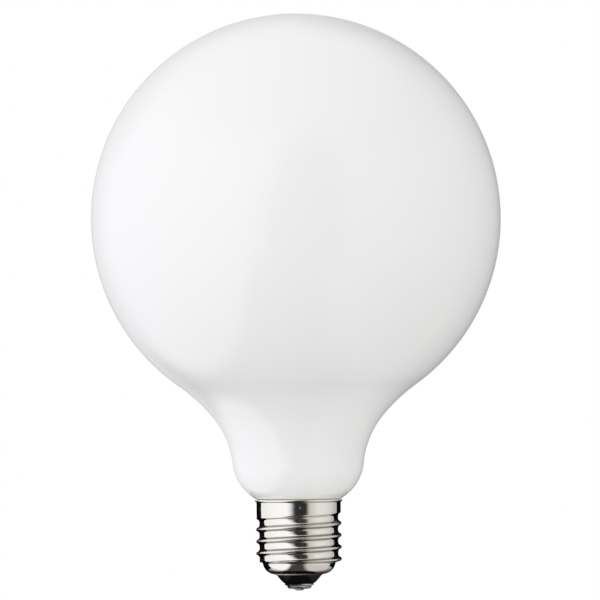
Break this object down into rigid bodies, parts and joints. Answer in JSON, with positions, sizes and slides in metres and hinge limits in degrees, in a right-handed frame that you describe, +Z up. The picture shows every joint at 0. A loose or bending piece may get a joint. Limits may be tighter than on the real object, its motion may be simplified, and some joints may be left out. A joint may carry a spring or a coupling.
{
  "type": "globe bulb",
  "caption": "Opal glass globe bulb with a flared neck on a nickel-plated right-hand screw cap, black glass insulator and soldered centre contact.",
  "frame": {"origin": "tip of the centre contact, on the bulb's axis", "axes": "+Z up the bulb's axis from the contact to the top of the globe; +X to the right with the bulb seen from the front, which looks along +Y"},
  "size_m": [0.125, 0.125, 0.176],
  "materials": {
    "opal_glass": "glossy opal white, opaque",
    "cement": "matt, off-white",
    "nickel_plate": "bright nickel plate, lightly scuffed",
    "black_glass": "glossy black, opaque",
    "tinned_metal": "dull tinned metal",
    "solder": "soft-edged soldered metal, slightly grey"
  },
  "bodies": {
    "root": {"glass_globe": "opal_glass", "cap_cement": "cement", "screw_shell": "nickel_plate", "insulator": "black_glass", "contact_plate": "tinned_metal", "centre_solder": "solder"}
  },
  "joints": []
}
